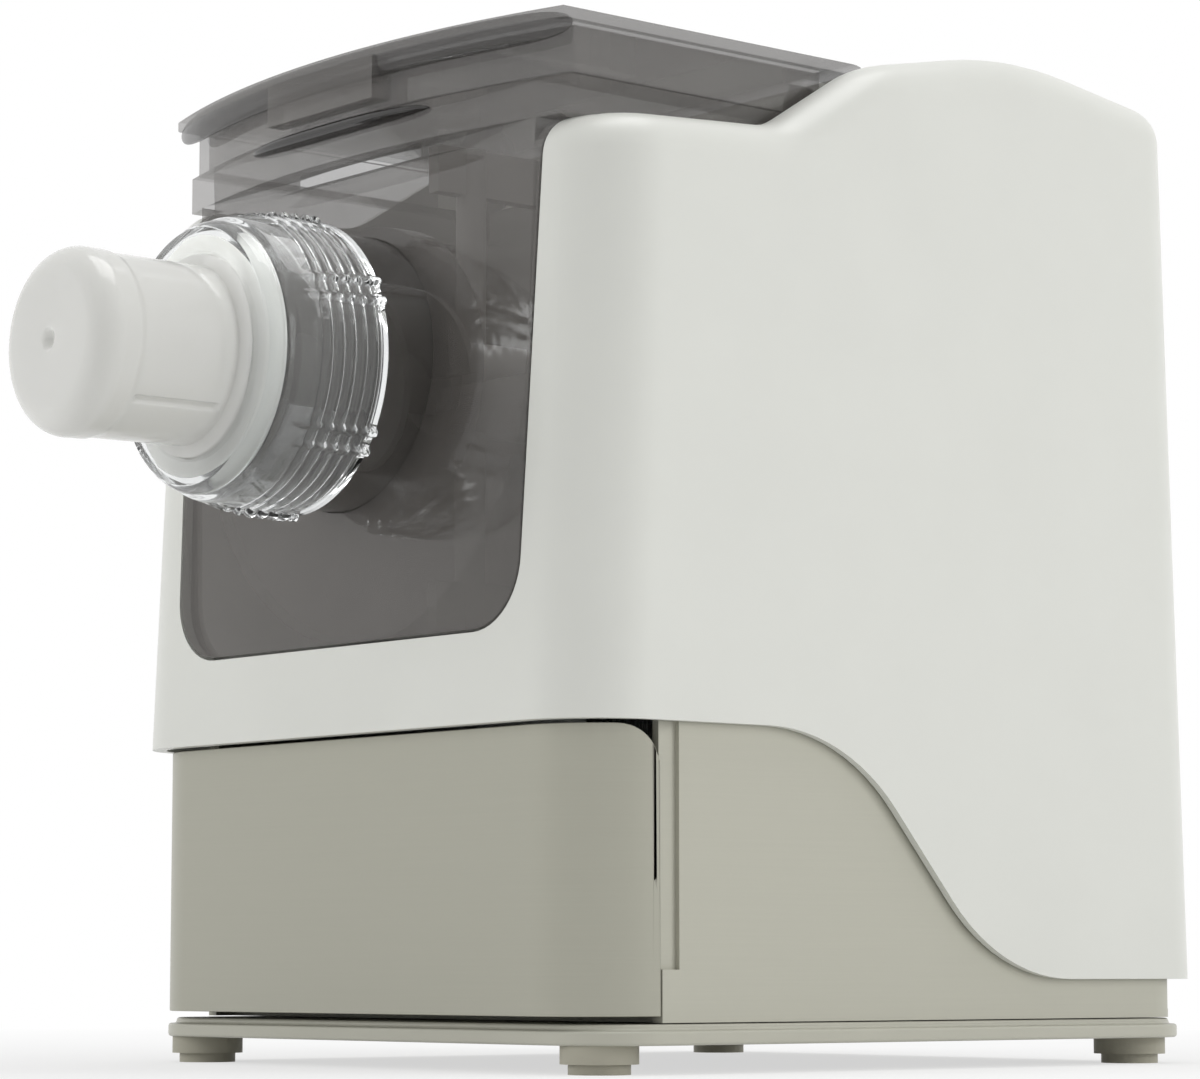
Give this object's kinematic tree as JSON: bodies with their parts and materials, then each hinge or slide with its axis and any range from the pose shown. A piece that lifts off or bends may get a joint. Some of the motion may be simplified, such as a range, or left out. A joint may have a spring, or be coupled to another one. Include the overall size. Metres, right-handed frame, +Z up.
{
  "type": "electric pasta maker",
  "caption": "Counter-top machine that kneads dough in a lidded smoked bin and pushes it out through a round nozzle with a ring nut, with an accessory drawer below.",
  "frame": {"origin": "centre of the bounding box, on the surface the feet stand on", "axes": "+Z up, -Y out of the nozzle, +X to the side with the power inlet"},
  "size_m": [0.223, 0.3412, 0.2985],
  "materials": {
    "white_plastic": "satin",
    "greige_plastic": "matte",
    "drawer_plastic": "satin",
    "smoked_plastic": "gloss",
    "clear_plastic": "gloss",
    "milky_plastic": "satin",
    "dark_plastic": "matte",
    "grey_rubber": "matte",
    "steel": "brushed",
    "gear_plastic": "matte",
    "board_green": "matte",
    "lens_plastic": "gloss"
  },
  "bodies": {
    "base": {"base_plate": "white_plastic", "rubber_feet": "grey_rubber", "base_shell": "greige_plastic", "drawer_runners": "greige_plastic", "main_housing": "white_plastic", "rear_cover": "white_plastic", "bay_liner": "white_plastic", "gearbox_front_plate": "steel", "gearbox_rear_plate": "steel", "shaft_bushes": "steel", "gearbox_spacers": "steel", "motor_body": "steel", "control_panel": "dark_plastic", "display_lens": "lens_plastic", "control_board": "board_green", "power_inlet": "dark_plastic", "inlet_pins": "steel"},
    "drawer": {"drawer_front": "drawer_plastic", "drawer_tray": "greige_plastic"},
    "bin": {"mixing_bin": "smoked_plastic", "bin_pull_bar": "dark_plastic", "extrusion_barrel": "smoked_plastic"},
    "lid": {"lid": "smoked_plastic", "lid_hinge_pins": "steel", "lid_latch": "dark_plastic"},
    "die": {"shaping_die": "milky_plastic"},
    "nut": {"ring_nut": "clear_plastic"},
    "agitator": {"auger": "gear_plastic", "kneading_paddle": "dark_plastic"},
    "drive": {"drive_shaft": "steel", "drive_gear": "gear_plastic"},
    "idler": {"idler_gears": "gear_plastic", "idler_axle": "steel"},
    "rotor": {"motor_rotor": "steel", "motor_fan": "dark_plastic"},
    "power_key": {"power_button": "milky_plastic"},
    "program_key": {"program_button": "milky_plastic"},
    "start_key": {"start_button": "milky_plastic"}
  },
  "joints": [
    {"name": "drawer_slide", "type": "slide", "parent": "base", "child": "drawer", "axis": [0, -1, 0], "range_m": [0, 0.095]},
    {"name": "bin_slide", "type": "slide", "parent": "base", "child": "bin", "axis": [0, -1, 0], "range_m": [0, 0.11]},
    {"name": "lid_hinge", "type": "hinge", "parent": "bin", "child": "lid", "pos_m": [0, 0.0421, 0.282], "axis": [-1, 0, 0], "range_deg": [0, 80]},
    {"name": "die_slide", "type": "slide", "parent": "bin", "child": "die", "axis": [0, -1, 0], "range_m": [0, 0.03]},
    {"name": "nut_turn", "type": "hinge", "parent": "die", "child": "nut", "pos_m": [0, -0.0989, 0.1992], "axis": [0, 1, 0], "range_deg": [0, 60]},
    {"name": "drive_spin", "type": "hinge", "parent": "base", "child": "drive", "pos_m": [0, 0.0711, 0.1992], "axis": [0, 1, 0], "continuous": true},
    {"name": "idler_spin", "type": "hinge", "parent": "base", "child": "idler", "pos_m": [0, 0.0711, 0.1492], "axis": [0, 1, 0], "continuous": true},
    {"name": "rotor_spin", "type": "hinge", "parent": "base", "child": "rotor", "pos_m": [0, 0.0911, 0.1032], "axis": [0, 1, 0], "continuous": true},
    {"name": "agitator_spin", "type": "hinge", "parent": "bin", "child": "agitator", "pos_m": [0, 0.0011, 0.1992], "axis": [0, 1, 0], "continuous": true},
    {"name": "power_press", "type": "slide", "parent": "base", "child": "power_key", "axis": [0, 0, -1], "range_m": [0, 0.0008], "stiffness_N_per_m": 600},
    {"name": "program_press", "type": "slide", "parent": "base", "child": "program_key", "axis": [0, 0, -1], "range_m": [0, 0.0008], "stiffness_N_per_m": 600},
    {"name": "start_press", "type": "slide", "parent": "base", "child": "start_key", "axis": [0, 0, -1], "range_m": [0, 0.0008], "stiffness_N_per_m": 600}
  ],
  "couplings": [
    {"joint": "idler_spin", "follows": "drive_spin", "ratio": -4},
    {"joint": "rotor_spin", "follows": "drive_spin", "ratio": 14.4},
    {"joint": "agitator_spin", "follows": "drive_spin", "ratio": 1}
  ]
}
